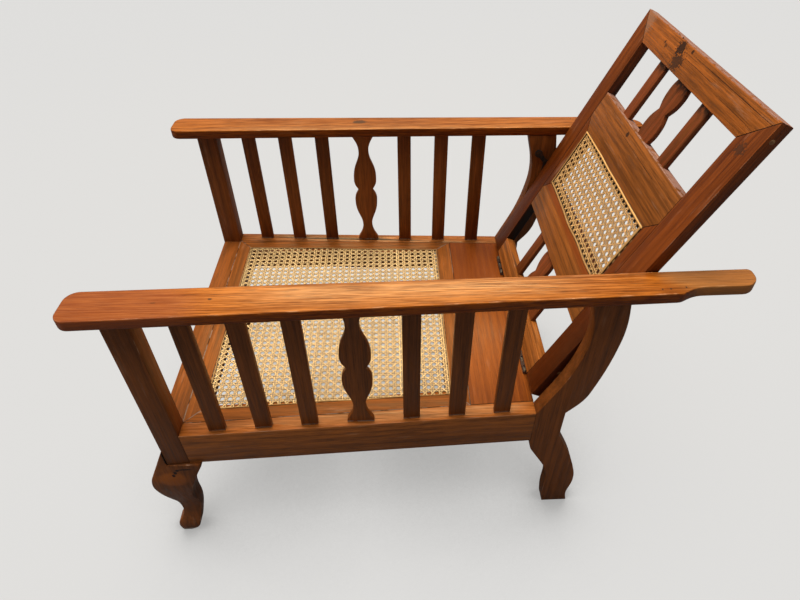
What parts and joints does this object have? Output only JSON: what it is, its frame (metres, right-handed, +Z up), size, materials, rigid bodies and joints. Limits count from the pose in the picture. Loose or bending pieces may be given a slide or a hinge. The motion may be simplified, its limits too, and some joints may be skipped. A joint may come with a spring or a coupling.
{
  "type": "planters chair",
  "caption": "Teak planters chair with long flat arms, slatted sides, caned drop-in seat and a hinged caned back that rests on a rod in two iron hooks",
  "frame": {"origin": "on the floor under the middle of the chair's overall box", "axes": "+Z up, the chair faces -Y, +X is the sitter's left"},
  "size_m": [0.7094, 1.1102, 0.8987],
  "materials": {
    "arm_wood": "worn satin varnish",
    "frame_wood": "worn satin varnish",
    "leg_wood": "worn satin varnish",
    "back_wood": "worn satin varnish",
    "cane": "woven rattan cane",
    "hinge_steel": "dull",
    "black_iron": "blackened"
  },
  "bodies": {
    "frame": {"arm_left": "arm_wood", "arm_right": "arm_wood", "front_leg_left": "leg_wood", "front_leg_right": "leg_wood", "front_post_left": "frame_wood", "front_post_right": "frame_wood", "front_rail": "frame_wood", "hinge_pin_left": "hinge_steel", "hinge_pin_right": "hinge_steel", "hinge_seat_leaf_left": "hinge_steel", "hinge_seat_leaf_right": "hinge_steel", "rear_board": "frame_wood", "rear_leg_left": "leg_wood", "rear_leg_right": "leg_wood", "rear_rail": "frame_wood", "rod_hook_left": "black_iron", "rod_hook_right": "black_iron", "seat_bearer_left": "frame_wood", "seat_bearer_right": "frame_wood", "seat_cane": "cane", "seat_frame_front": "frame_wood", "seat_frame_rear": "frame_wood", "seat_frame_side_left": "frame_wood", "seat_frame_side_right": "frame_wood", "side_rail_left": "frame_wood", "side_rail_right": "frame_wood", "side_slat_1_left": "frame_wood", "side_slat_1_right": "frame_wood", "side_slat_2_left": "frame_wood", "side_slat_2_right": "frame_wood", "side_slat_3_left": "frame_wood", "side_slat_3_right": "frame_wood", "side_slat_4_left": "frame_wood", "side_slat_4_right": "frame_wood", "side_slat_5_left": "frame_wood", "side_slat_5_right": "frame_wood", "side_slat_6_left": "frame_wood", "side_slat_6_right": "frame_wood", "vase_slat_left": "frame_wood", "vase_slat_right": "frame_wood"},
    "back": {"back_bottom_rail": "back_wood", "back_cane": "cane", "back_cane_strip_left": "back_wood", "back_cane_strip_right": "back_wood", "back_lower_rail": "back_wood", "back_lower_slat_left": "back_wood", "back_lower_slat_right": "back_wood", "back_lower_vase_slat": "back_wood", "back_stile_left": "back_wood", "back_stile_right": "back_wood", "back_top_rail": "back_wood", "back_upper_rail": "back_wood", "back_upper_slat_left": "back_wood", "back_upper_slat_right": "back_wood", "back_upper_vase_slat": "back_wood", "hinge_back_leaf_left": "hinge_steel", "hinge_back_leaf_right": "hinge_steel"},
    "rod": {"rest_rod": "black_iron"}
  },
  "joints": [
    {"name": "back_recline", "type": "hinge", "parent": "frame", "child": "back", "pos_m": [0, 0.23007, 0.33716], "axis": [1, 0, 0], "range_deg": [0, 110]},
    {"name": "rod_lift", "type": "slide", "parent": "frame", "child": "rod", "axis": [0, 0.4524, 0.8918], "range_m": [0, 0.06]}
  ]
}
